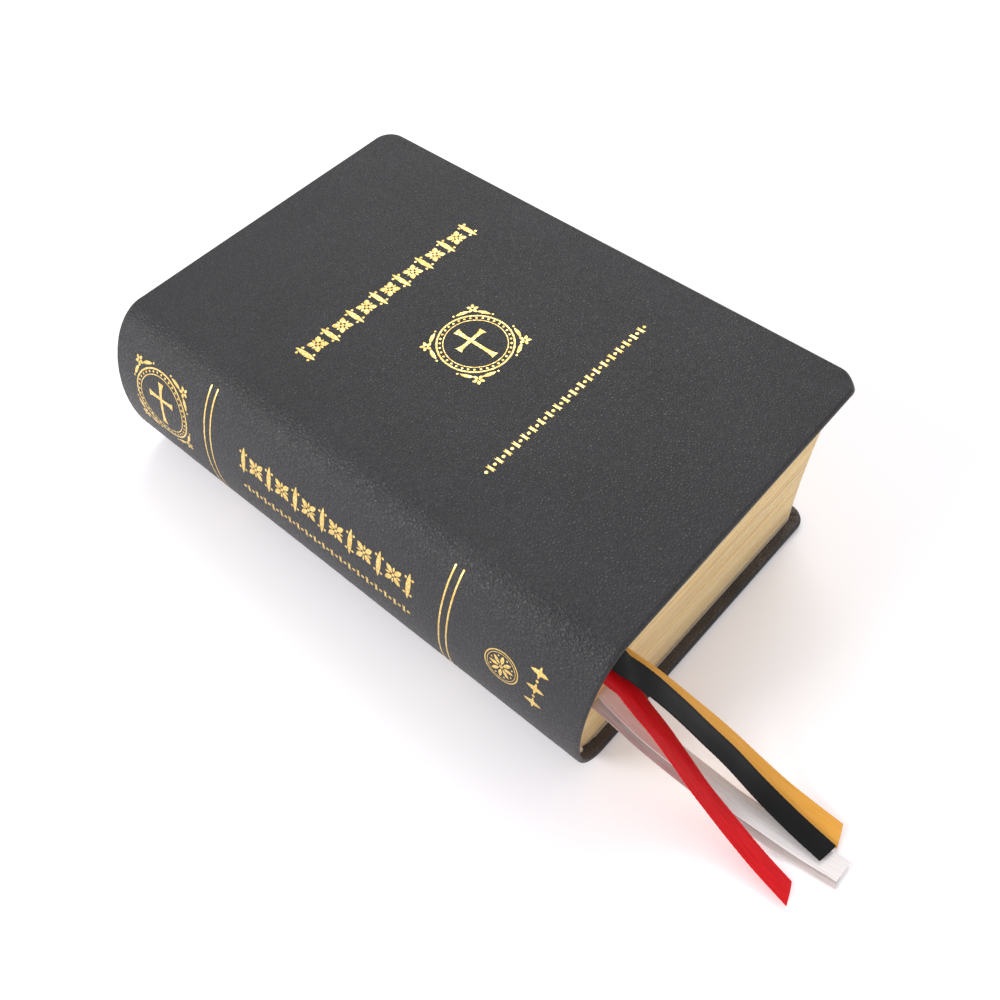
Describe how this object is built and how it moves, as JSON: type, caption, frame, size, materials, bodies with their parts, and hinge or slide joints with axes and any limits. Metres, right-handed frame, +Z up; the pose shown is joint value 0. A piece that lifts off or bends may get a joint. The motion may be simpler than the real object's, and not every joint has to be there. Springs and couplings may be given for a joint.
{
  "type": "prayer book",
  "caption": "Thick prayer book in limp black leather with a rounded spine, gilt-edged page block, ribbon markers, and covers and first pages that open.",
  "frame": {"origin": "middle of the book's footprint, on the surface that its back cover lies on; the ribbons' free ends are left out of the footprint", "axes": "+X from the spine to the fore-edge, +Y from the tail to the head, +Z up through the pages to the front cover"},
  "size_m": [0.115, 0.2329, 0.0585],
  "materials": {
    "black_leather": "satin, fine pebble grain",
    "cover_card": "matt",
    "endpaper": "matt",
    "gilt_pages": "burnished gilt edge",
    "sewing_thread": "matt",
    "binding_gauze": "open weave",
    "lining_paper": "matt kraft",
    "band_silk": "woven bead",
    "ribbon_red": "satin",
    "ribbon_black": "satin",
    "ribbon_gold": "satin",
    "ribbon_white": "satin",
    "ribbon_mauve": "satin"
  },
  "bodies": {
    "back_cover": {"leather_back": "black_leather", "back_board": "cover_card", "back_pastedown": "endpaper"},
    "back_flyleaf": {"back_flyleaf": "endpaper"},
    "text_block": {"signature_01": "gilt_pages", "signature_02": "gilt_pages", "signature_03": "gilt_pages", "signature_04": "gilt_pages", "signature_05": "gilt_pages", "signature_06": "gilt_pages", "signature_07": "gilt_pages", "signature_08": "gilt_pages", "signature_09": "gilt_pages", "signature_10": "gilt_pages", "signature_11": "gilt_pages", "signature_12": "gilt_pages", "signature_13": "gilt_pages", "signature_14": "gilt_pages", "signature_15": "gilt_pages", "signature_16": "gilt_pages", "signature_17": "gilt_pages", "signature_18": "gilt_pages", "signature_19": "gilt_pages", "signature_20": "gilt_pages", "signature_21": "gilt_pages", "sewing_thread": "sewing_thread", "spine_gauze": "binding_gauze", "spine_lining": "lining_paper", "leather_spine": "black_leather", "head_band": "band_silk", "tail_band": "band_silk", "ribbon_red": "ribbon_red", "ribbon_black": "ribbon_black", "ribbon_gold": "ribbon_gold", "ribbon_white": "ribbon_white", "ribbon_mauve": "ribbon_mauve"},
    "first_pages": {"signature_22": "gilt_pages", "signature_23": "gilt_pages", "signature_24": "gilt_pages"},
    "front_flyleaf": {"front_flyleaf": "endpaper"},
    "front_cover": {"leather_front": "black_leather", "front_board": "cover_card", "front_pastedown": "endpaper"}
  },
  "joints": [
    {"name": "back_cover_hinge", "type": "hinge", "parent": "back_cover", "child": "text_block", "pos_m": [-0.0515, 0, 0.00466], "axis": [0, -1, 0], "range_deg": [0, 80]},
    {"name": "back_flyleaf_turn", "type": "hinge", "parent": "back_cover", "child": "back_flyleaf", "pos_m": [-0.0515, 0, 0.00466], "axis": [0, -1, 0], "range_deg": [0, 40]},
    {"name": "front_cover_hinge", "type": "hinge", "parent": "text_block", "child": "front_cover", "pos_m": [-0.0515, 0, 0.04734], "axis": [0, -1, 0], "range_deg": [0, 175]},
    {"name": "front_flyleaf_turn", "type": "hinge", "parent": "text_block", "child": "front_flyleaf", "pos_m": [-0.0515, 0, 0.04734], "axis": [0, -1, 0], "range_deg": [0, 164.5]},
    {"name": "first_pages_turn", "type": "hinge", "parent": "text_block", "child": "first_pages", "pos_m": [-0.0515, 0, 0.04734], "axis": [0, -1, 0], "range_deg": [0, 148.75]}
  ],
  "couplings": [
    {"joint": "back_flyleaf_turn", "follows": "back_cover_hinge", "ratio": 0.5},
    {"joint": "front_flyleaf_turn", "follows": "front_cover_hinge", "ratio": 0.94},
    {"joint": "first_pages_turn", "follows": "front_cover_hinge", "ratio": 0.85}
  ]
}
